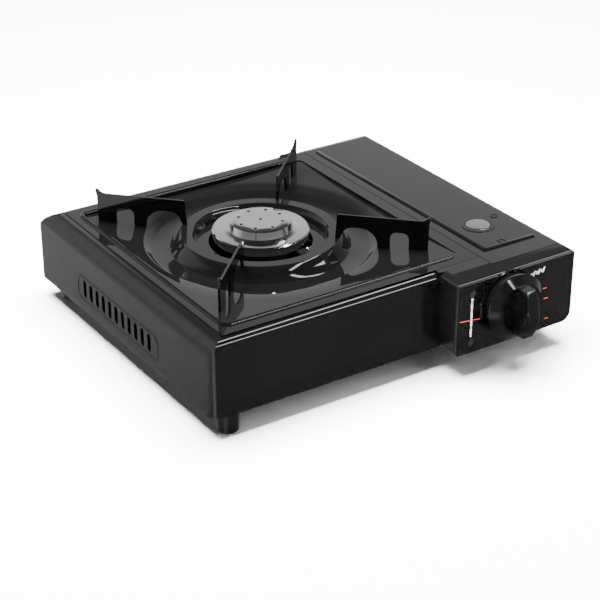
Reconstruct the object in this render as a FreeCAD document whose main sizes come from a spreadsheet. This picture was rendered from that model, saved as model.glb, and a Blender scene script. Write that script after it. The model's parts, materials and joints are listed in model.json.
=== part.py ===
"""Portable cassette stove: one burner, gas canister bay under a hinged lid.

Millimetres.  +X to the right, +Y to the back, +Z up.  The origin lies on the ground,
under the middle of the whole outline.  Every driving dimension is a cell of the sheet
"Sizes"; every piece takes its size and place from those cells through formulas.
"""
import FreeCAD, Part
import math
import os
import Sketcher

doc = FreeCAD.newDocument("cassette_stove")
sheet = doc.addObject("Spreadsheet::Sheet", "Sizes")

DRIVING = {
    # housing
    "body_width": 344.0, "body_depth": 308.0, "shell_height": 70.0, "foot_height": 20.0,
    "wall": 1.0, "left_roll": 18.0, "front_roll": 12.0, "back_roll": 40.0, "right_roll": 9.0,
    "corner_radius": 9.5, "running_gap": 0.3,
    # burner and drip pan
    "burner_from_left": 135.2, "burner_from_front": 145.2, "pan_sheet": 1.0,
    "pan_left": 13.0, "pan_front": 6.0, "pan_rim_left": 24.5, "pan_rim_front": 20.5,
    "pan_rim_right": 252.0, "pan_rim_back": 261.5, "bead_radius": 2.5, "dish_drop": 4.2,
    "dish_rise": 4.3, "dish_reach": 180.0, "bowl_radius": 101.0, "bowl_floor_radius": 94.0,
    "bowl_depth": 5.8, "ring_foot_radius": 77.0, "ring_top_outer": 69.0, "ring_top_inner": 58.5,
    "ring_rise": 12.0, "well_radius": 55.0, "well_drop": 8.5, "pan_hole_radius": 45.0,
    "cap_radius": 42.0, "cap_skirt": 8.0, "cap_above_top": 5.4, "disc_foot_radius": 30.0,
    "disc_top_radius": 25.3, "disc_rise": 8.0, "port_circle": 19.3, "port_radius": 1.6,
    "burner_base_radius": 31.0, "burner_base_drop": 36.0, "mixer_radius": 9.0, "mixer_bore": 7.5,
    "mixer_length": 62.0, "mixer_below_top": 23.0, "bracket_width": 40.0, "bracket_sheet": 1.5,
    # pan supports
    "support_outer": 146.6, "support_inner": 66.8, "support_peak": 28.7, "support_inner_rise": 24.5,
    "support_sheet": 2.0,
    # lid and canister bay
    "lid_width": 79.5, "lid_sheet": 1.0, "lid_back_gap": 34.0, "lid_front_reach": 10.0, "hinge_height": 44.0,
    "hinge_inset": 3.8, "pin_radius": 1.5, "pin_clearance": 0.05, "eye_radius": 2.4,
    "hinge_block": 8.0, "hinge_from_end": 22.0, "bridge_width": 18.0,
    "divider_from_right": 77.0, "tray_depth": 5.0, "tray_front": 60.0, "tray_back": 272.0,
    "lock_from_right": 42.5, "lock_from_front": 55.5, "lock_radius": 10.8, "lock_cup_radius": 14.5,
    "lock_cup_depth": 2.6, "lock_shaft": 3.5, "tongue_length": 33.0, "tongue_width": 8.0,
    "can_from_right": 39.5, "can_height": 29.3, "collar_radius": 17.0, "collar_bore": 13.2,
    # controls and gas train
    "panel_width": 126.2, "panel_proud": 25.3, "panel_wall": 2.0, "panel_edge": 3.5, "panel_slope": 2.5,
    "panel_corner": 16.0, "knob_from_right": 72.5, "knob_height": 39.0, "knob_radius": 29.0,
    "knob_face_radius": 22.0, "knob_body_radius": 27.0, "knob_skirt": 9.0, "knob_chamfer": 6.0,
    "grip_length": 18.1, "grip_width": 11.0, "grip_height": 43.0, "grip_bow": 36.5, "bezel_radius": 30.0,
    "bezel_thickness": 1.6, "shaft_radius": 3.0, "shaft_hole": 6.0, "valve_width": 59.0,
    "valve_depth": 38.0, "valve_height": 38.0, "pipe_radius": 2.2, "pipe_from_front": 26.0,
    "pipe_bend": 9.0, "screw_radius": 3.2, "screw_shank": 1.6, "screw_from_panel_edge": 16.2,
    "screw_upper": 56.5,
    "screw_lower": 11.0,
    # feet and base
    "foot_screw": 1.9, "foot_top_radius": 9.5, "foot_bottom_radius": 8.8, "foot_inset_side": 20.0,
    "foot_inset_front": 12.0, "foot_inset_back": 22.0, "foot_right_front": 34.0,
    "vent_front": 102.3, "vent_back": 216.4, "vent_low": 14.8, "vent_high": 31.2,
    "vent_width": 5.6,
}

for row, (alias, value) in enumerate(DRIVING.items(), start=1):
    sheet.set(f"A{row}", alias)
    sheet.set(f"B{row}", repr(value))
    sheet.setAlias(f"B{row}", alias)
doc.recompute()


class Size:
    """A length that knows both its value and its spreadsheet formula."""

    def __init__(self, value, formula):
        self.value = float(value)
        self.formula = formula

    def _with(self, other, sign, value):
        return Size(value, f"({self.formula} {sign} {of(other).formula})")

    def __add__(self, other):
        return self._with(other, "+", self.value + of(other).value)

    def __sub__(self, other):
        return self._with(other, "-", self.value - of(other).value)

    def __mul__(self, other):
        return self._with(other, "*", self.value * of(other).value)

    def __truediv__(self, other):
        return self._with(other, "/", self.value / of(other).value)

    def __rsub__(self, other):
        return of(other) - self

    def __neg__(self):
        return of(0.0) - self

    __radd__ = __add__
    __rmul__ = __mul__


def of(number):
    """Give a plain number as a Size, and a Size as it is."""
    if isinstance(number, Size):
        return number
    return Size(number, f"({float(number):.6f})")


class Sizes:
    """Reads a driving dimension by its alias."""

    def __getattr__(self, alias):
        return Size(DRIVING[alias], f"Sizes.{alias}")


s = Sizes()
parts = []

# ---------------------------------------------------------------- shared places
LEFT = -(s.body_width / 2)
RIGHT = s.body_width / 2
DEPTH = s.body_depth + s.panel_proud + s.bezel_thickness + s.knob_skirt + s.knob_chamfer
BACK = (DEPTH + s.grip_length) / 2
FRONT = BACK - s.body_depth
RIM = s.foot_height
TOP = RIM + s.shell_height
PLATE = TOP - s.dish_drop
BURNER_X = LEFT + s.burner_from_left
BURNER_Y = FRONT + s.burner_from_front
LID_LEFT = RIGHT - s.lid_width
LID_FRONT = FRONT - s.lid_front_reach
LID_BACK = BACK - s.lid_back_gap
PAN_RIGHT = LID_LEFT - s.running_gap * 2
PAN_BACK = LID_BACK
HINGE_X = RIGHT - s.hinge_inset
HINGE_Z = RIM + s.hinge_height
PANEL_FRONT = FRONT - s.panel_proud
PANEL_LEFT = RIGHT - s.panel_width
KNOB_X = RIGHT - s.knob_from_right
KNOB_Z = RIM + s.knob_height
LOCK_X = RIGHT - s.lock_from_right
LOCK_Y = FRONT + s.lock_from_front
CAN_X = RIGHT - s.can_from_right
CAN_Z = RIM + s.can_height
DIVIDER_X = RIGHT - s.divider_from_right
VALVE_LEFT = KNOB_X - 8.5
VALVE_FRONT = FRONT + s.wall
VALVE_BACK = VALVE_FRONT + s.valve_depth
VALVE_LOW = KNOB_Z - 25.0
MIXER_Z = TOP - s.mixer_below_top
CAP_TOP = TOP + s.cap_above_top
CAP_FOOT = CAP_TOP - s.cap_skirt
BRACKET_Z = TOP - s.burner_base_drop - s.bracket_sheet
AXES = {"x": FreeCAD.Rotation(FreeCAD.Vector(0, 1, 0), 90),
        "y": FreeCAD.Rotation(FreeCAD.Vector(1, 0, 0), -90),
        "z": FreeCAD.Rotation()}


# ---------------------------------------------------------------- building helpers
def bind(thing, **sizes):
    """Bind each named property to its formula."""
    for name, size in sizes.items():
        thing.setExpression(name.replace("_at_", ".").replace("__", "."), of(size).formula)


def place(thing, x, y, z):
    """Bind the placement's base point."""
    for axis, size in zip("xyz", (x, y, z)):
        thing.setExpression(f"Placement.Base.{axis}", of(size).formula)
    return thing


def block(x, y, z):
    """Box between two corners, each axis given as (low, high)."""
    box = doc.addObject("Part::Box", "block")
    bind(box, Length=of(x[1]) - x[0], Width=of(y[1]) - y[0], Height=of(z[1]) - z[0])
    return place(box, x[0], y[0], z[0])


def rod(radius, length, x, y, z, axis="z"):
    """Cylinder that starts at a point and runs along an axis."""
    cylinder = doc.addObject("Part::Cylinder", "rod")
    cylinder.Placement = FreeCAD.Placement(FreeCAD.Vector(), AXES[axis])
    bind(cylinder, Radius=radius, Height=length)
    return place(cylinder, x, y, z)


def taper(radius_start, radius_end, length, x, y, z, axis="z"):
    """Cone frustum that starts at a point and runs along an axis."""
    cone = doc.addObject("Part::Cone", "taper")
    cone.Placement = FreeCAD.Placement(FreeCAD.Vector(), AXES[axis])
    bind(cone, Radius1=radius_start, Radius2=radius_end, Height=length)
    return place(cone, x, y, z)


def join(*pieces):
    """Union of solids."""
    fused = doc.addObject("Part::MultiFuse", "join")
    fused.Shapes = list(pieces)
    fused.Refine = True
    return fused


def carve(base, *tools):
    """Base with every tool taken away."""
    cut = doc.addObject("Part::Cut", "carve")
    cut.Base = base
    cut.Tool = tools[0] if len(tools) == 1 else join(*tools)
    return cut


def group(*pieces):
    """Separate solids kept together as one sub-part."""
    compound = doc.addObject("Part::Compound", "group")
    compound.Links = list(pieces)
    return compound


def soften(base, choose, radius):
    """Fillet every edge for which choose(edge) is true."""
    doc.recompute()
    fillet = doc.addObject("Part::Fillet", "soften")
    fillet.Base = base
    fillet.Edges = [(index, of(radius).value, of(radius).value)
                    for index, edge in enumerate(base.Shape.Edges, start=1) if choose(edge)]
    return fillet


def keep(label, piece):
    """Name a finished sub-part."""
    piece.Label = label
    parts.append(piece)
    return piece


def along(edge, axis):
    """True for a straight edge along the given axis."""
    if edge.Degenerated or edge.Curve.TypeId != "Part::GeomLine":
        return False
    direction = edge.Curve.Direction
    return abs(abs(getattr(direction, axis)) - 1.0) < 1e-6


def middle(edge):
    """Middle point of an edge's box."""
    return edge.BoundBox.Center


def near(value, size, tolerance=0.02):
    """True where a coordinate meets a size."""
    return abs(value - of(size).value) < tolerance


def origin_plane(body, role):
    """Find a body's own origin plane."""
    for feature in body.Origin.OriginFeatures:
        if feature.Role == role:
            return feature
    raise ValueError(role)


def outline(body, role, points, name):
    """Closed straight-edged sketch whose corners are bound to formulas."""
    sketch = body.newObject("Sketcher::SketchObject", name)
    sketch.AttachmentSupport = [(origin_plane(body, role), "")]
    sketch.MapMode = "FlatFace"
    vectors = [FreeCAD.Vector(of(a).value, of(b).value, 0) for a, b in points]
    count = len(vectors)
    for index in range(count):
        sketch.addGeometry(Part.LineSegment(vectors[index], vectors[(index + 1) % count]), False)
    for index in range(count):
        sketch.addConstraint(Sketcher.Constraint("Coincident", index, 2, (index + 1) % count, 1))
    for index, (a, b) in enumerate(points):
        for kind, size in (("DistanceX", of(a)), ("DistanceY", of(b))):
            number = sketch.addConstraint(Sketcher.Constraint(kind, -1, 1, index, 1, size.value))
            sketch.setExpression(f"Constraints[{number}]", size.formula)
    return sketch


def new_body(name):
    """Empty PartDesign body."""
    return doc.addObject("PartDesign::Body", name)


def spun(name, points, x, y, z, turn=None):
    """Body of revolution about its own Z from an (r, z) outline, then placed."""
    body = new_body(name)
    sketch = outline(body, "XZ_Plane", points, name + "_outline")
    doc.recompute()
    revolution = body.newObject("PartDesign::Revolution", name + "_turned")
    revolution.Profile = sketch
    revolution.ReferenceAxis = (sketch, ["V_Axis"])
    revolution.Angle = 360.0
    if turn is not None:
        body.Placement = FreeCAD.Placement(FreeCAD.Vector(), turn)
    place(body, x, y, z)
    return body


# ---------------------------------------------------------------- housing
def overlap(*pieces):
    """Volume shared by every piece."""
    common = doc.addObject("Part::MultiCommon", "overlap")
    common.Shapes = list(pieces)
    return common


def shell_solid(inset, bottom):
    """Rounded housing block, drawn in from every face by an inset."""
    def envelope():
        return block((LEFT + inset, RIGHT - inset), (FRONT + inset, BACK - inset),
                     (bottom, TOP - inset))

    def rolled(base, run, side, place_at, radius):
        return soften(base, lambda e: along(e, run) and near(middle(e).z, TOP - inset)
                      and near(getattr(middle(e), side), place_at), radius - inset)

    footprint = soften(envelope(), lambda e: along(e, "z"), s.corner_radius - inset)
    sides = rolled(envelope(), "y", "x", LEFT + inset, s.left_roll)
    sides = rolled(sides, "y", "x", RIGHT - inset, s.right_roll)
    ends = rolled(envelope(), "x", "y", FRONT + inset, s.front_roll)
    ends = rolled(ends, "x", "y", BACK - inset, s.back_roll)
    return overlap(footprint, sides, ends)


def lid_clearance():
    """Space that the lid's front and rolled edge need over the fixed parts."""
    gap = s.lid_sheet + s.running_gap
    under = block((LID_LEFT - 5.0, RIGHT - gap), (LID_FRONT - 5.0, BACK), (TOP - 40.0, TOP - gap))
    under = soften(under, lambda e: along(e, "y") and near(middle(e).x, RIGHT - gap)
                   and near(middle(e).z, TOP - gap), s.right_roll - gap + 1.0)
    space = block((LID_LEFT - 0.6, RIGHT + 1.0), (LID_FRONT - 0.3, LID_BACK + s.running_gap),
                  (TOP - s.right_roll - 0.3, TOP + 5.0))
    return carve(space, under)


def make_body_shell():
    """Stamped steel housing with the pan opening, canister bay opening and side vents."""
    outer = shell_solid(of(0.0), RIM)
    inner = shell_solid(s.wall, RIM - 1.0)
    ledge = block((LEFT + s.pan_left - 1.4, RIGHT - s.right_roll), (FRONT + 0.5, LID_BACK + 1.4),
                  (TOP - s.pan_sheet - s.wall, TOP - s.pan_sheet))
    ledge = overlap(ledge, shell_solid(of(0.0), RIM))
    seat = block((LEFT + s.pan_left - 0.4, LID_LEFT), (FRONT + s.pan_front - 0.4, PAN_BACK + 0.4),
                 (TOP - s.pan_sheet, TOP + 5.0))
    hole = block((LEFT + s.pan_rim_left - 1.4, LID_LEFT - s.bridge_width / 2),
                 (FRONT + s.pan_rim_front - 1.4, FRONT + s.pan_rim_back + 1.4), (TOP - 30.0, TOP + 5.0))
    bay = block((DIVIDER_X + s.wall + 1.6, RIGHT - s.right_roll + 3.0),
                (FRONT + 14.0, LID_BACK - 8.0), (TOP - 20.0, TOP + 5.0))
    side = block((RIGHT - 5.2, RIGHT + 1.0), (FRONT + 11.0, LID_BACK + s.running_gap),
                 (HINGE_Z - 4.4, TOP + 5.0))
    stem = rod(s.shaft_hole, 10.0, KNOB_X, FRONT - 5.0, KNOB_Z, "y")
    screws = [rod(s.screw_shank, 10.0, PANEL_LEFT + s.screw_from_panel_edge, FRONT - 5.0,
                  RIM + height, "y") for height in (s.screw_upper, s.screw_lower)]
    shell = join(carve(outer, inner), ledge)
    return carve(shell, seat, hole, lid_clearance(), bay, side, stem, *screws, *side_vents())


def side_vents():
    """Row of upright round-ended slots through the left wall."""
    count = 11
    pitch = (s.vent_back - s.vent_front) / (count - 1)
    half = s.vent_width / 2
    slots = []
    for index in range(count):
        y = FRONT + s.vent_front + pitch * index
        slots.append(block((LEFT - 2.0, LEFT + 4.0), (y - half, y + half),
                           (RIM + s.vent_low + half, RIM + s.vent_high - half)))
        slots += [rod(half, 6.0, LEFT - 2.0, y, z, "x")
                  for z in (RIM + s.vent_low + half, RIM + s.vent_high - half)]
    return slots


def make_base_plate():
    """Bottom cover with a tray pressed down under the canister."""
    bottom = RIM
    plate = block((LEFT + s.wall, RIGHT - s.wall), (FRONT + s.wall, BACK - s.wall),
                  (bottom, bottom + s.wall))
    plate = soften(plate, lambda e: along(e, "z"), s.corner_radius - s.wall)
    tray_x = (DIVIDER_X + s.wall, RIGHT - s.wall - 1.0)
    tray_y = (FRONT + s.tray_front, FRONT + s.tray_back)
    tray = block(tray_x, tray_y, (bottom - s.tray_depth, bottom + s.wall))
    hollow = block((tray_x[0] + s.wall, tray_x[1] - s.wall), (tray_y[0] + s.wall, tray_y[1] - s.wall),
                   (bottom - s.tray_depth + s.wall, bottom + 5.0))
    screws = [rod(s.foot_screw, 20.0, x, y, bottom - 5.0) for x, y in foot_places().values()]
    return carve(join(plate, tray), hollow, *screws)


def foot_places():
    """Centre of each foot."""
    near_side = FRONT + s.foot_inset_front
    far_side = BACK - s.foot_inset_back
    return {"foot_front_left": (LEFT + s.foot_inset_side, near_side),
            "foot_front_right": (RIGHT - s.foot_inset_side, FRONT + s.foot_right_front),
            "foot_back_left": (LEFT + s.foot_inset_side, far_side),
            "foot_back_right": (RIGHT - s.foot_inset_side, far_side)}


def make_foot(label, x, y):
    """Moulded foot with a rounded lower edge and a counterbore for its screw."""
    edge = of(1.2)
    points = [(2.2, s.foot_height), (2.2, 8.0), (4.2, 8.0), (4.2, 0.0),
              (s.foot_bottom_radius - edge, 0.0), (s.foot_bottom_radius, edge),
              (s.foot_top_radius, s.foot_height)]
    return spun(label, points, x, y, 0.0)


def make_foot_screw(x, y):
    """Pan-head screw up through a foot into the bottom cover."""
    head = rod(3.8, 2.0, x, y, 6.0)
    shank = rod(s.foot_screw, s.foot_height - 8.0 + 3.0, x, y, 8.0)
    return join(head, shank)


def make_divider():
    """Upright heat shield between the burner and the canister bay."""
    wall = block((DIVIDER_X, DIVIDER_X + s.wall), (VALVE_BACK + 5.0, BACK - s.wall - 4.0),
                 (RIM + s.wall, TOP - s.wall * 2))
    slot = block((DIVIDER_X - 1.0, DIVIDER_X + 2.0), (BURNER_Y - 11.0, BURNER_Y + 11.0),
                 (RIM, RIM + 6.0))
    return carve(overlap(wall, shell_solid(s.wall + 0.2, RIM)), slot)


# ---------------------------------------------------------------- drip pan and supports
def field_column(gap, low, high):
    """Upright block over the pan's dished field, grown by a gap."""
    column = block((LEFT + s.pan_rim_left - gap, LEFT + s.pan_rim_right + gap),
                   (FRONT + s.pan_rim_front - gap, FRONT + s.pan_rim_back + gap), (low, high))
    return soften(column, lambda e: along(e, "z"), of(gap) + 4.5)


def pan_bead():
    """Half-round bead along the left, front and back of the field."""
    radius = s.bead_radius
    left = LEFT + s.pan_rim_left - radius
    end = LEFT + s.pan_rim_right - 9.0
    front = FRONT + s.pan_rim_front - radius
    back = FRONT + s.pan_rim_back + radius
    z = TOP - 0.5
    bend = radius + 4.5
    runs = [rod(radius, back - front - bend * 2, left, front + bend, z, "y"),
            rod(radius, end - left - bend, left + bend, front, z, "x"),
            rod(radius, end - left - bend, left + bend, back, z, "x")]
    for y, angle in ((front + bend, 180.0), (back - bend, 90.0)):
        turn = doc.addObject("Part::Torus", "corner")
        bind(turn, Radius1=bend, Radius2=radius)
        turn.Angle3 = 90.0
        turn.Placement = FreeCAD.Placement(FreeCAD.Vector(), FreeCAD.Rotation(FreeCAD.Vector(0, 0, 1), angle))
        runs.append(place(turn, left + bend, y, z))
    for y in (front, back):
        ball = doc.addObject("Part::Sphere", "end")
        bind(ball, Radius=radius)
        runs.append(place(ball, end, y, z))
    below = block((LEFT, RIGHT), (FRONT, BACK), (TOP - 20.0, TOP - s.pan_sheet))
    return carve(join(*runs), below)


def bowl_outline():
    """Half section of the dished field, bowl, ring and well."""
    up = PLATE
    floor = up - s.bowl_depth
    ring = floor + s.ring_rise
    well = ring - s.well_drop
    thick = s.pan_sheet
    upper = [(s.dish_reach, up + s.dish_rise), (s.bowl_radius, up), (s.bowl_radius - 1.5, up - 0.5),
             (s.bowl_floor_radius + 1.0, floor + 0.6),
             (s.bowl_floor_radius - 1.0, floor), (s.ring_foot_radius + 1.0, floor),
             (s.ring_foot_radius - 1.0, floor + 1.5), (s.ring_top_outer + 0.8, ring - 1.0),
             (s.ring_top_outer - 0.6, ring), (s.ring_top_inner + 0.6, ring),
             (s.ring_top_inner - 0.6, ring - 1.0), (s.well_radius, well),
             (s.pan_hole_radius, well)]
    lower = [(s.pan_hole_radius, well - thick), (s.well_radius + 1.0, well - thick),
             (s.ring_top_inner + 0.4, ring - thick - 1.0), (s.ring_top_outer - 1.0, ring - thick - 1.0),
             (s.ring_foot_radius - 2.4, floor - thick), (s.bowl_floor_radius, floor - thick),
             (s.bowl_radius - 0.6, up - thick), (s.dish_reach, up + s.dish_rise - thick)]
    return upper + lower


def make_drip_pan():
    """Enamelled pan: flange, beaded edge, dished field, round bowl and the ring round the burner."""
    flange = block((LEFT + s.pan_left, PAN_RIGHT), (FRONT + s.pan_front, PAN_BACK),
                   (TOP - s.pan_sheet, TOP))
    low = PLATE - 0.6
    frame = field_column(s.pan_sheet, low, TOP)
    inside = field_column(of(0.0), TOP - 20.0, TOP + 10.0)
    bowl = spun("bowl", bowl_outline(), BURNER_X, BURNER_Y, 0.0)
    dished = overlap(bowl, field_column(of(0.5), TOP - 20.0, TOP + 10.0))
    return join(carve(join(flange, frame, pan_bead()), inside), dished)


def make_pan_support(label, angle):
    """Upright sheet support that stands on the pan and reaches in over the burner."""
    body = new_body(label)
    dish = -s.dish_drop
    slope = s.dish_rise / (s.dish_reach - s.bowl_radius)
    ring = dish - s.bowl_depth + s.ring_rise
    outer = s.support_outer
    inner = s.support_inner
    peak = s.support_peak
    crest = s.support_inner_rise

    def foot(radius):
        return (radius, dish + slope * (radius - s.bowl_radius) + 0.05)

    window_in, window_out = outer - 34.1, outer - 17.9
    points = [foot(outer - 1.6), (outer - 1.0, crest - 2.5), (outer, peak - 2.2), (outer, peak - 0.5),
              (outer - 0.8, peak), (outer - 2.0, peak - 0.3), (outer - 3.6, peak - 2.1),
              (outer - 6.1, crest + 0.5), (outer - 10.6, crest),
              (inner + 0.7, crest), (inner, crest - 1.0),
              (inner - 1.5, ring + 1.0), (inner - 1.5, ring), (inner + 2.0, ring), (inner + 2.7, ring + 0.8),
              (inner + 5.2, ring + 7.0), (inner + 8.4, ring + 10.0), (inner + 12.2, ring + 11.2),
              (inner + 19.2, ring + 11.5), (inner + 24.0, ring + 10.9), (inner + 27.6, ring + 9.3),
              (inner + 30.6, ring + 7.0), (inner + 33.2, ring + 4.0), (inner + 34.6, ring),
              foot(s.bowl_radius + 1.1), foot(window_in),
              (window_in, 7.0), (window_in + 0.7, 9.6), (window_in + 2.6, 11.5), (window_in + 5.0, 12.2),
              (window_out - 5.0, 12.2), (window_out - 2.6, 11.5), (window_out - 0.7, 9.6),
              (window_out, 7.0), foot(window_out)]
    sketch = outline(body, "XZ_Plane", points, label + "_outline")
    doc.recompute()
    pad = body.newObject("PartDesign::Pad", label + "_pad")
    pad.Profile = sketch
    pad.Midplane = True
    pad.setExpression("Length", s.support_sheet.formula)
    doc.recompute()
    body.Placement = FreeCAD.Placement(FreeCAD.Vector(), FreeCAD.Rotation(FreeCAD.Vector(0, 0, 1), angle))
    return place(body, BURNER_X, BURNER_Y, TOP)


# ---------------------------------------------------------------- burner
def make_burner_cap():
    """Bright cap: broad flange with a skirt, and a raised ported disc."""
    top = CAP_TOP
    disc = top + s.disc_rise
    points = [(0.0, disc - 1.5), (s.disc_top_radius - 1.0, disc - 1.5), (s.disc_foot_radius - 2.5, top - 1.0),
              (s.disc_foot_radius - 2.5, top - 3.0), (s.cap_radius - 3.0, top - 3.0),
              (s.cap_radius - 2.0, CAP_FOOT), (s.cap_radius - 0.6, CAP_FOOT), (s.cap_radius, top - 1.0),
              (s.cap_radius - 1.0, top), (s.disc_foot_radius, top + 0.4),
              (s.disc_foot_radius - 1.5, top + 1.0), (s.disc_top_radius + 1.2, disc - 1.0),
              (s.disc_top_radius - 0.5, disc), (0.0, disc)]
    cap = spun("cap_turned", points, BURNER_X, BURNER_Y, 0.0)
    ports = [rod(s.port_radius, 14.0, BURNER_X, BURNER_Y, top - 4.0)]
    for index in range(8):
        turn = math.radians(45.0 * index)
        ports.append(rod(s.port_radius, 14.0, BURNER_X + s.port_circle * math.cos(turn),
                         BURNER_Y + s.port_circle * math.sin(turn), top - 4.0))
    return carve(cap, *ports)


def make_burner_base():
    """Cast burner cup under the cap, with the socket for the mixing tube."""
    low = BRACKET_Z + s.bracket_sheet
    cup = rod(s.burner_base_radius, CAP_TOP - 3.0 - low, BURNER_X, BURNER_Y, low)
    shelf = taper(s.burner_base_radius, s.cap_radius - 3.0, 5.0, BURNER_X, BURNER_Y, CAP_FOOT - 5.0)
    rim = rod(s.cap_radius - 3.2, CAP_TOP - 3.0 - CAP_FOOT, BURNER_X, BURNER_Y, CAP_FOOT)
    hollow = rod(s.burner_base_radius - 3.0, 40.0, BURNER_X, BURNER_Y, low + 3.0)
    socket = rod(s.mixer_radius, 40.0, BURNER_X, BURNER_Y - s.burner_base_radius - 5.0, MIXER_Z, "y")
    return carve(join(cup, shelf, rim), hollow, socket)


def make_mixing_tube():
    """Tube that mixes gas and air on the way to the burner cup."""
    start = BURNER_Y - s.burner_base_radius - s.mixer_length
    length = s.mixer_length + 10.0
    outer = join(rod(s.mixer_radius, length, BURNER_X, start, MIXER_Z, "y"),
                 rod(s.mixer_radius + 1.5, 6.0, BURNER_X, start, MIXER_Z, "y"))
    bore = rod(s.mixer_bore, length + 10.0, BURNER_X, start - 5.0, MIXER_Z, "y")
    air = block((BURNER_X - 3.0, BURNER_X + 3.0), (start + 9.0, start + 21.0),
                (MIXER_Z - 20.0, MIXER_Z))
    return carve(outer, bore, air)


def make_burner_bracket():
    """Bridge that carries the burner above the bottom cover."""
    half = s.bracket_width / 2
    thick = s.bracket_sheet
    top = block((BURNER_X - half, BURNER_X + half), (BURNER_Y - half, BURNER_Y + half),
                (BRACKET_Z, BRACKET_Z + thick))
    floor = RIM + s.wall
    legs = []
    for side in (-1, 1):
        edge = BURNER_X + half * side
        inner = edge - thick * side
        ordered = (edge, inner) if side < 0 else (inner, edge)
        legs.append(block(ordered, (BURNER_Y - half, BURNER_Y + half), (floor, BRACKET_Z + thick)))
        toe = (edge - 12.0, edge) if side < 0 else (edge, edge + 12.0)
        legs.append(block(toe, (BURNER_Y - half, BURNER_Y + half), (floor, floor + thick)))
    return join(top, *legs)


# ---------------------------------------------------------------- controls and gas train
def panel_block(wall):
    """Panel's outside with its rounded outline, drawn in by a wall."""
    def envelope():
        return block((PANEL_LEFT + wall, RIGHT - wall), (PANEL_FRONT + wall, FRONT),
                     (RIM + wall, TOP - wall))

    face = envelope()
    for x, z, radius in ((RIGHT - wall, RIM + wall, s.panel_corner), (RIGHT - wall, TOP - wall, s.right_roll),
                         (PANEL_LEFT + wall, RIM + wall, of(7.0)), (PANEL_LEFT + wall, TOP - wall, of(7.0))):
        face = soften(face, lambda e: along(e, "y") and near(middle(e).x, x) and near(middle(e).z, z),
                      radius - wall)
    return face, envelope


def make_control_panel():
    """Moulded front panel, hollow behind, that carries the knob."""
    face, envelope = panel_block(of(0.0))
    angle = 8.2
    slope = doc.addObject("Part::Box", "slope")
    slope.Placement = FreeCAD.Placement(FreeCAD.Vector(), FreeCAD.Rotation(FreeCAD.Vector(1, 0, 0), angle))
    bind(slope, Length=s.panel_width + 2.0, Width=of(17.46), Height=of(10.0))
    place(slope, PANEL_LEFT - 1.0, PANEL_FRONT, TOP - s.panel_slope)
    rounded = soften(envelope(), lambda e: along(e, "x") and near(middle(e).y, PANEL_FRONT)
                     and near(middle(e).z, RIM), s.panel_edge)
    ends = soften(envelope(), lambda e: along(e, "z") and near(middle(e).y, PANEL_FRONT), s.panel_edge)
    doc.recompute()
    lip = carve(rounded, slope)
    lip = soften(lip, lambda e: along(e, "x") and near(middle(e).y, PANEL_FRONT)
                 and near(middle(e).z, TOP - s.panel_slope), s.panel_edge)
    outer = overlap(face, lip, ends)
    wall = s.panel_wall
    hollow, _ = panel_block(wall)
    back = block((PANEL_LEFT + wall * 2, RIGHT - s.panel_corner), (FRONT - 1.0, FRONT + 1.0),
                 (RIM + wall, TOP - wall * 3))
    top_trim = block((PANEL_LEFT, RIGHT), (PANEL_FRONT, FRONT + 1.0), (TOP - wall - s.panel_slope, TOP + 1.0))
    shelf = block((PANEL_LEFT, RIGHT), (FRONT, FRONT + s.front_roll - 1.0), (TOP - s.front_roll, TOP))
    shelf = soften(shelf, lambda e: along(e, "y") and near(middle(e).x, RIGHT)
                   and near(middle(e).z, TOP), s.right_roll)
    pan_space = block((PANEL_LEFT - 1.0, LID_LEFT), (FRONT + s.pan_front - 0.4, FRONT + 40.0),
                      (TOP - 10.0, TOP + 5.0))
    shelf = carve(shelf, shell_solid(of(0.0), RIM), pan_space)
    stem = rod(s.shaft_hole, 10.0, KNOB_X, PANEL_FRONT - 3.0, KNOB_Z, "y")
    x = PANEL_LEFT + s.screw_from_panel_edge
    screws = []
    for height in (s.screw_upper, s.screw_lower):
        screws.append(rod(s.screw_radius, 1.4 + 3.0, x, PANEL_FRONT - 3.0, RIM + height, "y"))
        screws.append(rod(s.screw_shank, 10.0, x, PANEL_FRONT - 3.0, RIM + height, "y"))
    moulding = carve(outer, carve(join(hollow, back), top_trim), stem, *screws)
    return carve(join(moulding, shelf), lid_clearance())


def make_panel_screw(height):
    """Countersunk panel screw with a cross slot, sunk below the panel's face."""
    x = PANEL_LEFT + s.screw_from_panel_edge
    z = RIM + height
    head = rod(s.screw_radius - 0.1, 1.0, x, PANEL_FRONT + 0.4, z, "y")
    shank = rod(s.screw_shank, s.panel_proud + 3.0, x, PANEL_FRONT + 1.4, z, "y")
    slots = [block((x - 2.0, x + 2.0), (PANEL_FRONT, PANEL_FRONT + 0.9), (z - 0.35, z + 0.35)),
             block((x - 0.35, x + 0.35), (PANEL_FRONT, PANEL_FRONT + 0.9), (z - 2.0, z + 2.0))]
    return carve(join(head, shank), *slots)


def knob_turn():
    """Rotation that lays a turned piece along -Y."""
    return FreeCAD.Rotation(FreeCAD.Vector(1, 0, 0), 90)


def make_knob_bezel():
    """Flat ring behind the knob."""
    points = [(s.shaft_hole, 0.0), (s.bezel_radius, 0.0), (s.bezel_radius, s.bezel_thickness - 0.6),
              (s.bezel_radius - 0.6, s.bezel_thickness), (s.shaft_hole, s.bezel_thickness)]
    return spun("knob_bezel", points, KNOB_X, PANEL_FRONT, KNOB_Z, knob_turn())


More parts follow.
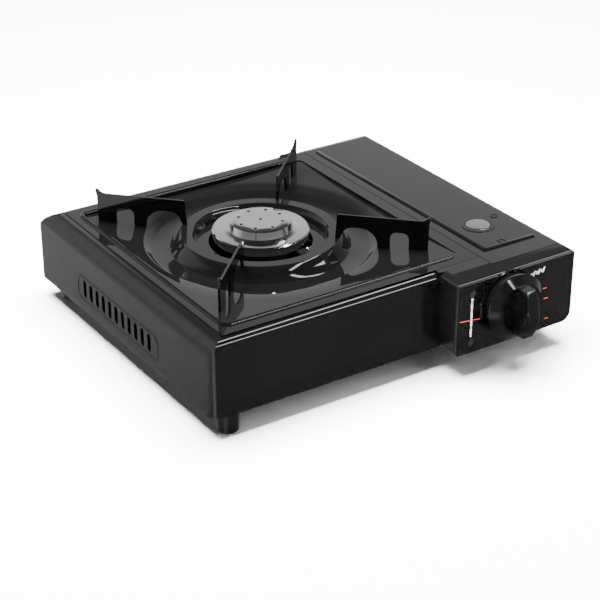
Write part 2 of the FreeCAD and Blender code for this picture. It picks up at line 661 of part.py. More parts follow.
def make_knob():
    """Flared knob with a raised bowed grip bar and a bore pressed on the shaft."""
    gap = s.running_gap
    top = s.knob_skirt + s.knob_chamfer
    points = [(s.shaft_radius, gap), (s.knob_body_radius, gap), (s.knob_radius, s.knob_skirt - 1.5),
              (s.knob_radius, s.knob_skirt), (s.knob_face_radius + 0.5, top), (s.knob_face_radius - 3.0, top),
              (s.knob_face_radius - 4.0, top - 4.0), (s.shaft_radius, top - 4.0)]
    front = PANEL_FRONT - s.bezel_thickness
    skirt = spun("knob_turned", points, KNOB_X, front, KNOB_Z, knob_turn())
    face = front - top
    grip = block((KNOB_X - s.grip_width / 2, KNOB_X + s.grip_width / 2),
                 (face - s.grip_length, face + 4.5),
                 (KNOB_Z - s.grip_height / 2, KNOB_Z + s.grip_height / 2))
    bow = rod(s.grip_bow, 40.0, KNOB_X - 20.0, face - s.grip_length + s.grip_bow, KNOB_Z, "x")
    grip = soften(overlap(grip, bow), lambda e: e.BoundBox.YMax < (face - 3.0).value
                  and e.BoundBox.ZLength > 20.0, 1.5)
    return join(skirt, grip)


def make_knob_shaft():
    """Valve shaft from the regulator to the knob."""
    start = PANEL_FRONT - s.bezel_thickness - s.knob_skirt - s.knob_chamfer + 4.5
    return rod(s.shaft_radius, VALVE_FRONT + 10.0 - start, KNOB_X, start, KNOB_Z, "y")


def make_regulator():
    """Pressure regulator and valve body with the bore for the shaft."""
    right = VALVE_LEFT + s.valve_width
    body = block((VALVE_LEFT, right), (VALVE_FRONT, VALVE_BACK - 4.0),
                 (VALVE_LOW, VALVE_LOW + s.valve_height))
    body = soften(body, lambda e: along(e, "y"), 5.0)
    spout = rod(s.collar_bore + 2.0, 4.5, CAN_X, VALVE_BACK - 4.5, CAN_Z, "y")
    dome = rod(12.0, 4.0, VALVE_LEFT + s.valve_width / 2, VALVE_FRONT + 17.0,
               VALVE_LOW + s.valve_height - 0.5)
    bore = rod(s.shaft_radius + s.pin_clearance, 11.0, KNOB_X, VALVE_FRONT - 0.5, KNOB_Z, "y")
    outlet = rod(s.pipe_radius, 6.0, VALVE_LEFT - 1.0, FRONT + s.pipe_from_front, MIXER_Z, "x")
    return carve(join(body, spout, dome), bore, outlet)


def make_collar():
    """Collar that the canister's neck plugs into, with its locating notch."""
    ring = rod(s.collar_radius, 14.0, CAN_X, VALVE_BACK, CAN_Z, "y")
    bore = rod(s.collar_bore, 20.0, CAN_X, VALVE_BACK - 1.0, CAN_Z, "y")
    notch = block((CAN_X - 2.5, CAN_X + 2.5), (VALVE_BACK + 6.0, VALVE_BACK + 20.0),
                  (CAN_Z + 10.0, CAN_Z + 30.0))
    return carve(ring, bore, notch)


def make_collar_seal():
    """Rubber seal at the bottom of the collar."""
    ring = rod(s.collar_bore, 2.0, CAN_X, VALVE_BACK, CAN_Z, "y")
    bore = rod(4.0, 6.0, CAN_X, VALVE_BACK - 1.0, CAN_Z, "y")
    return carve(ring, bore)


def make_gas_pipe():
    """Pipe from the regulator along the front, bent round to the jet."""
    radius = s.pipe_radius
    bend = s.pipe_bend
    y = FRONT + s.pipe_from_front
    corner_x = BURNER_X + bend
    run = rod(radius, VALVE_LEFT + 4.0 - corner_x, corner_x, y, MIXER_Z, "x")
    turn = doc.addObject("Part::Torus", "bend")
    bind(turn, Radius1=bend, Radius2=radius)
    turn.Angle3 = 90.0
    turn.Placement = FreeCAD.Placement(FreeCAD.Vector(), FreeCAD.Rotation(FreeCAD.Vector(0, 0, 1), 180))
    place(turn, corner_x, y + bend, MIXER_Z)
    rise = rod(radius, jet_start() - (y + bend), BURNER_X, y + bend, MIXER_Z, "y")
    return join(run, turn, rise)


def jet_start():
    """Where the jet begins, ahead of the mixing tube's mouth."""
    return BURNER_Y - s.burner_base_radius - s.mixer_length - 12.0


def make_gas_jet():
    """Brass jet: hexagon and tip with a fine bore."""
    hexagon = doc.addObject("Part::Prism", "hexagon")
    hexagon.Polygon = 6
    hexagon.Placement = FreeCAD.Placement(FreeCAD.Vector(), AXES["y"])
    bind(hexagon, Circumradius=5.0, Height=5.0)
    place(hexagon, BURNER_X, jet_start(), MIXER_Z)
    tip = taper(3.2, 1.8, 6.5, BURNER_X, jet_start() + 5.0, MIXER_Z, "y")
    bore = rod(0.6, 20.0, BURNER_X, jet_start() - 1.0, MIXER_Z, "y")
    return carve(join(hexagon, tip), bore)


def make_igniter():
    """Piezo igniter clipped above the valve."""
    start = VALVE_LEFT + s.valve_width
    body = block((start, start + 9.0), (VALVE_FRONT + 4.0, VALVE_FRONT + 30.0),
                 (KNOB_Z - 18.0, KNOB_Z - 2.0))
    return soften(body, lambda e: along(e, "y"), 2.0)


def electrode_place():
    """Foot of the spark electrode, under the edge of the cap."""
    reach = s.burner_base_radius + 11.0
    return BURNER_X + reach * math.cos(math.radians(-40.0)), BURNER_Y + reach * math.sin(math.radians(-40.0))


def make_electrode():
    """Steel spark wire held by the insulator."""
    x, y = electrode_place()
    return rod(0.8, CAP_FOOT - 1.5 - (MIXER_Z - 6.0), x, y, MIXER_Z - 6.0)


def make_insulator():
    """Ceramic sleeve round the spark wire."""
    x, y = electrode_place()
    sleeve = join(rod(2.4, 14.0, x, y, MIXER_Z - 3.0), rod(3.4, 4.0, x, y, MIXER_Z + 2.0))
    return carve(sleeve, rod(0.8, 30.0, x, y, MIXER_Z - 8.0))


def make_electrode_clip():
    """Arm that holds the insulator beside the burner cup."""
    x, y = electrode_place()
    arm = block((x - 8.5, x + 6.0), (y - 4.5, y + 9.0), (MIXER_Z + 6.0, MIXER_Z + 7.2))
    post = block((x + 4.8, x + 6.0), (y - 4.5, y + 4.5), (RIM + s.wall, MIXER_Z + 7.2))
    cup = rod(s.burner_base_radius, 80.0, BURNER_X, BURNER_Y, RIM)
    return carve(join(arm, post), cup, rod(2.4, 20.0, x, y, MIXER_Z))


def make_igniter_lead():
    """Insulated lead from the igniter to the foot of the spark wire."""
    x, y = electrode_place()
    z = RIM + 6.0
    radius = 1.1
    start = VALVE_LEFT + s.valve_width + 5.0
    lane = VALVE_BACK - 1.5
    drop = rod(radius, KNOB_Z - 18.0 - z, start, VALVE_FRONT + 8.0, z)
    first = rod(radius, lane - (VALVE_FRONT + 8.0), start, VALVE_FRONT + 8.0, z, "y")
    second = rod(radius, start - x, x, lane, z, "x")
    third = rod(radius, y - lane, x, lane, z, "y")
    rise = rod(radius, MIXER_Z - 6.0 - z, x, y, z)
    knees = []
    for a, b in ((start, VALVE_FRONT + 8.0), (start, lane), (x, lane), (x, y)):
        ball = doc.addObject("Part::Sphere", "knee")
        bind(ball, Radius=radius)
        knees.append(place(ball, a, b, z))
    return join(drop, first, second, third, rise, *knees)


def make_heat_conductor():
    """Aluminium strip that carries a little heat from the burner to the canister."""
    edge = DIVIDER_X + s.wall + 1.6
    y = (BURNER_Y - 9.0, BURNER_Y + 9.0)
    low = RIM + s.wall
    strip = block((BURNER_X + s.bracket_width / 2 + 12.0, edge), y, (low, low + 1.6))
    upright = block((edge - 1.6, edge), y, (low, low + 24.0))
    return join(strip, upright)


# ---------------------------------------------------------------- lid
def make_lid():
    """Canister bay lid: flat top, rolled right edge and upright skirt."""
    thick = s.lid_sheet
    low = HINGE_Z - 1.0
    outer = block((LID_LEFT, RIGHT), (LID_FRONT, LID_BACK), (low, TOP))
    outer = soften(outer, lambda e: along(e, "y") and near(middle(e).x, RIGHT)
                   and near(middle(e).z, TOP), s.right_roll)
    hollow = block((LID_LEFT - 1.0, RIGHT - thick), (LID_FRONT - 1.0, LID_BACK + 1.0),
                   (low - 1.0, TOP - thick))
    hollow = soften(hollow, lambda e: along(e, "y") and near(middle(e).x, RIGHT - thick)
                    and near(middle(e).z, TOP - thick), s.right_roll - thick)
    below = block((LID_LEFT, RIGHT + 1.0), (LID_FRONT - 1.0, FRONT + 11.3), (low - 1.0, TOP - s.right_roll))
    notches = [block((RIGHT - 5.0, RIGHT + 1.0), (y - s.hinge_block / 2 - 0.6, y + s.hinge_block / 2 + 0.6),
                     (low - 1.0, HINGE_Z + 4.0)) for y in hinge_places()]
    cup = rod(s.lock_cup_radius - 1.5, 10.0, LOCK_X, LOCK_Y, TOP - 5.0)
    return carve(outer, hollow, below, cup, *notches)


def hinge_places():
    """Middle of each hinge along the lid."""
    return (FRONT + s.hinge_from_end, LID_BACK - s.hinge_from_end)


def make_hinge_bracket(y):
    """Lug on the housing wall with the eye for a hinge pin."""
    half = s.hinge_block / 2
    stem = block((HINGE_X - 1.5, RIGHT - s.wall), (y - half, y + half), (HINGE_Z - 14.0, HINGE_Z - 5.0))
    neck = block((HINGE_X - 1.5, HINGE_X + 1.5), (y - half, y + half), (HINGE_Z - 8.0, HINGE_Z))
    eye = rod(s.eye_radius, s.hinge_block, HINGE_X, y - half, HINGE_Z, "y")
    bore = rod(s.pin_radius + s.pin_clearance, 40.0, HINGE_X, y - 20.0, HINGE_Z, "y")
    return carve(join(stem, neck, eye), bore)


def make_hinge_ears(y):
    """Pair of ears on the lid's skirt, one each side of the housing lug."""
    ears = []
    gap = s.hinge_block / 2 + 0.6
    for low, high in ((y - gap - 2.0, y - gap), (y + gap, y + gap + 2.0)):
        eye = rod(s.eye_radius, 2.0, HINGE_X, low, HINGE_Z, "y")
        arm = block((HINGE_X - 1.0, RIGHT - s.lid_sheet), (low, high), (HINGE_Z - 0.8, HINGE_Z + 6.0))
        bore = rod(s.pin_radius, 4.0, HINGE_X, low - 1.0, HINGE_Z, "y")
        ears.append(carve(join(eye, arm), bore))
    return group(*ears)


def make_hinge_pin(y):
    """Hinge pin pressed into the lid's ears."""
    length = s.hinge_block + 1.2 + 4.0
    return rod(s.pin_radius, length, HINGE_X, y - length / 2, HINGE_Z, "y")


def make_lock_cup():
    """Round cup let into the lid round the lock."""
    ring = rod(s.lock_cup_radius, 0.6, LOCK_X, LOCK_Y, TOP)
    wall = rod(s.lock_cup_radius - 1.5, s.lock_cup_depth + 1.2, LOCK_X, LOCK_Y, TOP - s.lock_cup_depth - 1.2)
    hollow = rod(s.lock_radius + 0.8, 20.0, LOCK_X, LOCK_Y, TOP - s.lock_cup_depth)
    bore = rod(s.lock_shaft + s.pin_clearance, 20.0, LOCK_X, LOCK_Y, TOP - 10.0)
    return carve(join(ring, wall), hollow, bore)


def make_lock_knob():
    """Turned metal lock button with a slot, on its shaft."""
    low = TOP - s.lock_cup_depth + s.running_gap
    disc = rod(s.lock_radius, s.lock_cup_depth + 0.8, LOCK_X, LOCK_Y, low)
    disc = soften(disc, lambda e: near(e.BoundBox.ZMin, low + s.lock_cup_depth + 0.8), 0.8)
    mark = rod(1.2, 6.0, LOCK_X, LOCK_Y - s.lock_radius, TOP)
    shaft = rod(s.lock_shaft, low - (TOP - 6.2), LOCK_X, LOCK_Y, TOP - 6.2)
    return join(carve(disc, mark), shaft)


def make_lock_tongue():
    """Tongue on the lock shaft; turned, it reaches under the bridge of the housing."""
    bar = block((LOCK_X - s.tongue_width / 2, LOCK_X + s.tongue_width / 2),
                (LOCK_Y - s.tongue_width / 2, LOCK_Y + s.tongue_length), (TOP - 6.2, TOP - 4.8))
    return carve(bar, rod(s.lock_shaft, 10.0, LOCK_X, LOCK_Y, TOP - 10.0))


def make_rear_stop():
    """Small upright tab behind the pan that keeps it from sliding back."""
    x = LEFT + 244.0
    tab = block((x - 6.0, x + 6.0), (PAN_BACK + 0.8, PAN_BACK + 2.3), (TOP - 3.0, TOP + 2.5))
    tab = soften(tab, lambda e: along(e, "y") and near(middle(e).z, TOP + 2.5), 1.5)
    return carve(tab, shell_solid(of(0.0), RIM))


# ---------------------------------------------------------------- assembly
keep("body_shell", make_body_shell())
keep("base_plate", make_base_plate())
for foot, (foot_x, foot_y) in foot_places().items():
    keep(foot, make_foot(foot, foot_x, foot_y))
keep("foot_screws", group(*[make_foot_screw(x, y) for x, y in foot_places().values()]))
keep("bay_divider", make_divider())
keep("drip_pan", make_drip_pan())
for name, angle in (("front_left", 225.0), ("front_right", 315.0), ("back_left", 135.0), ("back_right", 45.0)):
    keep("pan_support_" + name, make_pan_support("pan_support_" + name, angle))
keep("burner_cap", make_burner_cap())
keep("burner_base", make_burner_base())
keep("mixing_tube", make_mixing_tube())
keep("burner_bracket", make_burner_bracket())
keep("control_panel", make_control_panel())
keep("panel_screws", group(make_panel_screw(s.screw_upper), make_panel_screw(s.screw_lower)))
keep("knob_bezel", make_knob_bezel())
keep("control_knob", make_knob())
keep("knob_shaft", make_knob_shaft())
keep("regulator_body", make_regulator())
keep("canister_collar", make_collar())
keep("collar_seal", make_collar_seal())
keep("gas_pipe", make_gas_pipe())
keep("gas_jet", make_gas_jet())
keep("piezo_igniter", make_igniter())
keep("spark_electrode", make_electrode())
keep("electrode_insulator", make_insulator())
keep("electrode_clip", make_electrode_clip())
keep("igniter_lead", make_igniter_lead())
keep("heat_conductor", make_heat_conductor())
keep("lid", make_lid())
keep("lid_hinge_brackets", group(*[make_hinge_bracket(y) for y in hinge_places()]))
keep("lid_hinge_ears", group(*[make_hinge_ears(y) for y in hinge_places()]))
keep("lid_hinge_pins", group(*[make_hinge_pin(y) for y in hinge_places()]))
keep("lid_lock_cup", make_lock_cup())
keep("lid_lock_knob", make_lock_knob())
keep("lid_lock_tongue", make_lock_tongue())
keep("rear_pan_stop", make_rear_stop())
doc.recompute()

faults = [thing.Label for thing in doc.Objects if "Invalid" in thing.State or "Error" in thing.State]
faults += [piece.Label for piece in parts if piece.Shape.isNull() or not piece.Shape.isValid()]
if faults:
    raise RuntimeError("failed pieces: " + ", ".join(faults))

os.makedirs("parts", exist_ok=True)
for piece in parts:
    piece.Shape.exportStep(f"parts/{piece.Label}.step")
    print(piece.Label, len(piece.Shape.Solids), round(piece.Shape.Volume))
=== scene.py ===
"""Portable cassette stove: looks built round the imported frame.

Every piece is in metres in the row frame: +X to the canister side, +Y to the back, +Z up.
"""

import json
import logging
import math
from dataclasses import dataclass
from enum import Enum
from typing import Optional, Sequence

import bpy
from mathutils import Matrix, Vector


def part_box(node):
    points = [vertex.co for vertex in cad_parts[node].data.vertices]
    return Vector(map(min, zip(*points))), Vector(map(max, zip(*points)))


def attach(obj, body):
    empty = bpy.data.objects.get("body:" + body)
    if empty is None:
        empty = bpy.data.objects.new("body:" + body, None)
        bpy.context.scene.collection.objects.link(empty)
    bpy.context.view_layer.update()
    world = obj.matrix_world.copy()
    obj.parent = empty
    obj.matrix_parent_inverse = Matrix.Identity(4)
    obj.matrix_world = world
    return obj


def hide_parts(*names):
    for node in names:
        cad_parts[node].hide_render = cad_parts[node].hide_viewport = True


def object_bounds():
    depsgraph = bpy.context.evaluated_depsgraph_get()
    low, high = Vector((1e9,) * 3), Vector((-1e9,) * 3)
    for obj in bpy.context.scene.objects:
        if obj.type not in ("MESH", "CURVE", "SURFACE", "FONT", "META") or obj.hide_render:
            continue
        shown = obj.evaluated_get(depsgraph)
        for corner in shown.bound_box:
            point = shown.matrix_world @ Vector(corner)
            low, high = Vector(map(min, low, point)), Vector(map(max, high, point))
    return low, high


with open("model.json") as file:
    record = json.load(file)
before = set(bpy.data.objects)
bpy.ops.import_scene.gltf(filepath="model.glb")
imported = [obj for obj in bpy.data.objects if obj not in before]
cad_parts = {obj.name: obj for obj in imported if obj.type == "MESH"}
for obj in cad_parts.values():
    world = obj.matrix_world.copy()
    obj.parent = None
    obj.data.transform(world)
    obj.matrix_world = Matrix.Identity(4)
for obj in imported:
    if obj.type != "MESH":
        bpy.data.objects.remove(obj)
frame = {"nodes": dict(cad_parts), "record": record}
cad_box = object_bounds()

logging.basicConfig(level=logging.INFO, format="%(message)s")
log = logging.getLogger("stove")

MM = 0.001


# ------------------------------------------------------------------ colours and nodes
def to_linear(code: str) -> tuple[float, float, float, float]:
    """Turn an sRGB hex colour into linear light.

    Args:
        code: colour such as "#1A1A1A".

    Returns:
        Red, green, blue and alpha in linear light.
    """
    values = [int(code[i:i + 2], 16) / 255 for i in (1, 3, 5)]
    linear = [v / 12.92 if v <= 0.04045 else ((v + 0.055) / 1.055) ** 2.4 for v in values]
    return (linear[0], linear[1], linear[2], 1.0)


class Graph:
    """A material's node tree with one small function that adds to it."""

    def __init__(self, material: bpy.types.Material) -> None:
        """Clear the tree and keep its shader and output.

        Args:
            material: the material to fill.
        """
        material.use_nodes = True
        self.tree = material.node_tree
        self.tree.nodes.clear()
        self.output = self.add("ShaderNodeOutputMaterial")
        self.shader = self.add("ShaderNodeBsdfPrincipled")
        self.tree.links.new(self.shader.outputs["BSDF"], self.output.inputs["Surface"])

    def add(self, kind: str, settings: Optional[dict] = None, links: Optional[dict] = None) -> bpy.types.Node:
        """Add one node with its settings and incoming links.

        Args:
            kind: the node's type name.
            settings: attribute or socket name to value.
            links: socket name to a (node, output name) pair.

        Returns:
            The new node.
        """
        node = self.tree.nodes.new(kind)
        for name, value in (settings or {}).items():
            if name in node.inputs:
                node.inputs[name].default_value = value
            else:
                setattr(node, name, value)
        for name, (source, output) in (links or {}).items():
            self.tree.links.new(source.outputs[output], node.inputs[name])
        return node

    def feed(self, socket: str, source: bpy.types.Node, output: str) -> None:
        """Link a node's output to one of the shader's sockets."""
        self.tree.links.new(source.outputs[output], self.shader.inputs[socket])


# ------------------------------------------------------------------ finishes
class Grain(Enum):
    """How a surface's fine pattern runs."""

    EVEN = "even"
    BRUSHED = "brushed"
    TURNED = "turned"


@dataclass(frozen=True)
class Finish:
    """One real material with the way its surface was made."""

    name: str
    colour: str
    second: str
    metallic: float
    roughness: float
    rough_spread: float
    pattern_mm: float
    bump_mm: float
    ior: float = 1.5
    coat: float = 0.0
    specular: float = 0.5
    grain: Grain = Grain.EVEN
    centre: tuple[float, float, float] = (0.0, 0.0, 0.0)

    def build(self) -> bpy.types.Material:
        """Make the material's nodes.

        Returns:
            The finished material.
        """
        material = bpy.data.materials.new(self.name)
        graph = Graph(material)
        shader = graph.shader
        shader.inputs["Metallic"].default_value = self.metallic
        shader.inputs["IOR"].default_value = self.ior
        shader.inputs["Coat Weight"].default_value = self.coat
        shader.inputs["Coat Roughness"].default_value = 0.03
        shader.inputs["Specular IOR Level"].default_value = self.specular
        place = graph.add("ShaderNodeTexCoord")
        scale = 1.0 / (self.pattern_mm * MM)
        stretch = {Grain.EVEN: (1.0, 1.0, 1.0), Grain.BRUSHED: (1.0, 0.04, 1.0),
                   Grain.TURNED: (1.0, 1.0, 1.0)}[self.grain]
        mapped = graph.add("ShaderNodeMapping", {"Scale": stretch,
                                                 "Location": tuple(-c for c in self.centre)},
                           {"Vector": (place, "Object")})
        if self.grain is Grain.TURNED:
            pattern = graph.add("ShaderNodeTexWave", {"wave_type": "RINGS", "rings_direction": "Z",
                                                      "Scale": scale / 6.0, "Distortion": 0.6,
                                                      "Detail": 2.0}, {"Vector": (mapped, "Vector")})
        else:
            pattern = graph.add("ShaderNodeTexNoise", {"Scale": scale, "Detail": 3.0, "Roughness": 0.55},
                                {"Vector": (mapped, "Vector")})
        cloud = graph.add("ShaderNodeTexNoise", {"Scale": 14.0, "Detail": 2.0}, {"Vector": (place, "Object")})
        tint = graph.add("ShaderNodeMix", {"data_type": "RGBA"}, {"Factor": (cloud, "Fac")})
        tint.inputs[6].default_value = to_linear(self.colour)
        tint.inputs[7].default_value = to_linear(self.second)
        graph.tree.links.new(tint.outputs[2], shader.inputs["Base Color"])
        rough = graph.add("ShaderNodeMapRange", {"From Min": 0.3, "From Max": 0.7,
                                                 "To Min": max(0.0, self.roughness - self.rough_spread),
                                                 "To Max": self.roughness + self.rough_spread},
                          {"Value": (pattern, "Fac")})
        graph.feed("Roughness", rough, "Result")
        bump = graph.add("ShaderNodeBump", {"Strength": 0.25, "Distance": self.bump_mm * MM},
                         {"Height": (pattern, "Fac")})
        graph.feed("Normal", bump, "Normal")
        return material


class Finishes:
    """Every finish of the stove, built once each."""

    def __init__(self) -> None:
        """Build the materials by slot name."""
        bx, by, _ = burner_centre()
        self.by_slot: dict[str, bpy.types.Material] = {
            # vitreous enamel fired on steel: wet-looking black with the faintest orange peel
            "enamel_body": Finish("black_enamel_fired", "#050505", "#070707", 0.0, 0.07, 0.015, 9.0, 0.0006).build(),
            "enamel_pan": Finish("black_enamel_pan", "#040404", "#060606", 0.0, 0.05, 0.015, 9.0, 0.0006).build(),
            # ABS, moulded in a polished tool: deep gloss, slightly softer than enamel
            "panel_plastic": Finish("abs_polished_moulding", "#060606", "#080808", 0.0, 0.09, 0.02, 2.0, 0.001).build(),
            "knob_plastic": Finish("abs_knob_moulding", "#040404", "#060606", 0.0, 0.08, 0.02, 2.0, 0.001).build(),
            # nickel-plated steel, pressed and polished: mirror with faint turning marks
            "bright_steel": Finish("nickel_plate_turned", "#F2F1EE", "#E6E5E2", 1.0, 0.12, 0.04, 1.2, 0.002,
                                   grain=Grain.TURNED, centre=(bx, by, 0.0)).build(),
            "lock_steel": Finish("stainless_disc_brushed", "#EDECE8", "#DDDCD8", 1.0, 0.34, 0.08, 0.6, 0.006,
                                 grain=Grain.BRUSHED).build(),
            # zinc-plated sheet: grey with a crystalline mottle
            "plain_steel": Finish("zinc_plated_sheet", "#8D8F91", "#7B7D80", 1.0, 0.38, 0.08, 3.0, 0.003).build(),
            # sand-cast iron: dark grey with grit of about a millimetre
            "burner_iron": Finish("sand_cast_iron", "#2C2B2A", "#222120", 0.6, 0.62, 0.08, 1.0, 0.05).build(),
            "light_alloy": Finish("aluminium_drawn", "#BFC1C4", "#B0B2B5", 1.0, 0.30, 0.08, 0.8, 0.004,
                                  grain=Grain.BRUSHED).build(),
            "die_cast": Finish("zinc_alloy_die_cast", "#8A8C8E", "#7C7E80", 1.0, 0.45, 0.06, 1.5, 0.01).build(),
            "brass": Finish("brass_turned", "#B5904A", "#A58040", 1.0, 0.25, 0.06, 0.5, 0.003).build(),
            "black_rubber": Finish("nitrile_rubber", "#0C0C0C", "#101010", 0.0, 0.75, 0.05, 0.8, 0.01).build(),
            "foot_plastic": Finish("polypropylene_moulding", "#070707", "#0A0A0A", 0.0, 0.30, 0.05, 0.8, 0.006).build(),
            "lead_sleeve": Finish("silicone_sleeve", "#7A1512", "#6A100E", 0.0, 0.45, 0.05, 1.0, 0.004).build(),
            # screen-printed ink: thin, slightly matt and grainy
            "print_white": Finish("screen_ink_white", "#D8D8D6", "#C8C8C6", 0.0, 0.45, 0.05, 0.4, 0.004).build(),
            "print_red": Finish("screen_ink_red", "#B01E18", "#A01A14", 0.0, 0.45, 0.05, 0.4, 0.004).build(),
            "ceramic": Finish("glazed_steatite", "#E4DFD2", "#DAD4C6", 0.0, 0.15, 0.04, 1.5, 0.003).build(),
        }

    def put(self, piece: bpy.types.Object, slot: str) -> None:
        """Dress a piece in a slot's finish.

        Args:
            piece: the mesh object.
            slot: a key of by_slot.
        """
        piece.data.materials.clear()
        piece.data.materials.append(self.by_slot[slot])


# ------------------------------------------------------------------ modelling helpers
def burner_centre() -> tuple[float, float, float]:
    """Centre and top of the burner cap."""
    low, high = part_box("burner_cap")
    return ((low[0] + high[0]) / 2, (low[1] + high[1]) / 2, high[2])


def deselect() -> None:
    """Leave nothing selected or active."""
    for thing in bpy.context.selected_objects:
        thing.select_set(False)
    bpy.context.view_layer.objects.active = None


def take(piece: bpy.types.Object) -> None:
    """Make a piece the only selected and active one."""
    deselect()
    piece.select_set(True)
    bpy.context.view_layer.objects.active = piece


def settle(piece: bpy.types.Object) -> None:
    """Put a piece's place into its mesh."""
    take(piece)
    bpy.ops.object.transform_apply(location=True, rotation=True, scale=True)


def smooth(piece: bpy.types.Object, degrees: float = 32.0) -> None:
    """Shade smooth where faces meet at less than an angle."""
    take(piece)
    bpy.ops.object.shade_smooth_by_angle(angle=math.radians(degrees))


def body_of_node(node: str) -> str:
    """Name of the rigid body that a node belongs to."""
    for body, nodes in frame["record"]["behaviour"]["bodies"].items():
        if node in nodes:
            return body
    raise ValueError(node)


def slot_of_node(node: str) -> str:
    """Material slot that the record gives a node."""
    for entry in frame["record"]["subparts"]:
        if entry["node"] == node:
            return entry["material_slot"]
    raise ValueError(node)


@dataclass
class PressedSkin:
    """A welded, smooth-shaded copy of one node that stands for it."""

    node: str
    finishes: Finishes
    slot: Optional[str] = None
    angle: float = 32.0

    def make(self) -> bpy.types.Object:
        """Copy, weld and shade the node's mesh.

        Returns:
            The new piece.
        """
        source = frame["nodes"][self.node]
        piece = bpy.data.objects.new(self.node + "_skin", source.data.copy())
        bpy.context.scene.collection.objects.link(piece)
        take(piece)
        bpy.ops.object.mode_set(mode="EDIT")
        bpy.ops.mesh.select_all(action="SELECT")
        bpy.ops.mesh.remove_doubles(threshold=0.000004)
        bpy.ops.mesh.tris_convert_to_quads(face_threshold=math.radians(1.0), shape_threshold=math.radians(170.0))
        bpy.ops.object.mode_set(mode="OBJECT")
        if piece.data.has_custom_normals:
            bpy.ops.mesh.customdata_custom_splitnormals_clear()
        smooth(piece, self.angle)
        self.finishes.put(piece, self.slot or slot_of_node(self.node))
        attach(piece, body_of_node(self.node))
        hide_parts(self.node)
        return piece


# ------------------------------------------------------------------ printed and pressed details
@dataclass
class Bar:
    """One small round-edged bar, in millimetres from the housing's low front left corner at the rim."""

    place: tuple[float, float, float]
    size: tuple[float, float, float]
    turn: float = 0.0

    def make(self) -> bpy.types.Object:
        """Model the bar from a cube.

        Returns:
            The bar with its place in its mesh.
        """
        deselect()
        bpy.ops.mesh.primitive_cube_add(size=1.0)
        piece = bpy.context.active_object
        bpy.ops.object.mode_set(mode="EDIT")
        bpy.ops.mesh.select_all(action="SELECT")
        bpy.ops.transform.resize(value=tuple(v * MM for v in self.size))
        bpy.ops.mesh.bevel(offset=min(self.size) * 0.3 * MM, segments=2, affect="EDGES")
        bpy.ops.object.mode_set(mode="OBJECT")
        low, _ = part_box("body_shell")
        piece.location = (low[0] + self.place[0] * MM, low[1] + self.place[1] * MM,
                          low[2] + self.place[2] * MM)
        piece.rotation_euler = (0.0, math.radians(self.turn), 0.0)
        settle(piece)
        return piece


@dataclass
class Ring:
    """A thin rounded frame pressed on a wall or a lid."""

    place: tuple[float, float, float]
    length: float
    height: float
    width: float
    proud: float
    corner: float
    facing: tuple[float, float, float]

    def make(self) -> bpy.types.Object:
        """Model the frame from a plane: round its corners, open it and thicken it.

        Returns:
            The frame with its place in its mesh.
        """
        deselect()
        bpy.ops.mesh.primitive_plane_add(size=1.0)
        piece = bpy.context.active_object
        bpy.ops.object.mode_set(mode="EDIT")
        bpy.ops.mesh.select_all(action="SELECT")
        bpy.ops.transform.resize(value=(self.length * MM, self.height * MM, 1.0))
        bpy.ops.mesh.bevel(offset=self.corner * MM, segments=6, affect="VERTICES")
        bpy.ops.mesh.select_all(action="SELECT")
        bpy.ops.mesh.inset(thickness=self.width * MM, depth=0.0)
        bpy.ops.mesh.delete(type="FACE")
        bpy.ops.object.mode_set(mode="OBJECT")
        thicken = piece.modifiers.new("thicken", "SOLIDIFY")
        thicken.thickness = self.proud * 2.0 * MM
        thicken.offset = 0.0
        take(piece)
        bpy.ops.object.modifier_apply(modifier=thicken.name)
        soft = piece.modifiers.new("soft", "BEVEL")
        soft.width = self.proud * 0.6 * MM
        soft.segments = 2
        bpy.ops.object.modifier_apply(modifier=soft.name)
        low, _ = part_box("body_shell")
        piece.location = tuple(low[i] + self.place[i] * MM for i in range(3))
        piece.rotation_euler = tuple(math.radians(v) for v in self.facing)
        settle(piece)
        return piece


@dataclass
class Detail:
    """Several small shapes joined as one piece that rides on a body."""

    name: str
    body: str
    slot: str
    finish: str
    shapes: Sequence[object]

    def make(self, finishes: Finishes) -> bpy.types.Object:
        """Join the shapes, dress them and let them ride.

        Args:
            finishes: the stove's finishes.

        Returns:
            The joined piece.
        """
        made = [shape.make() for shape in self.shapes]
        take(made[0])
        for other in made[1:]:
            other.select_set(True)
        if len(made) > 1:
            bpy.ops.object.join()
        piece = bpy.context.view_layer.objects.active
        piece.name = self.name
        smooth(piece, 40.0)
        finishes.put(piece, self.finish)
        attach(piece, self.body)
        return piece


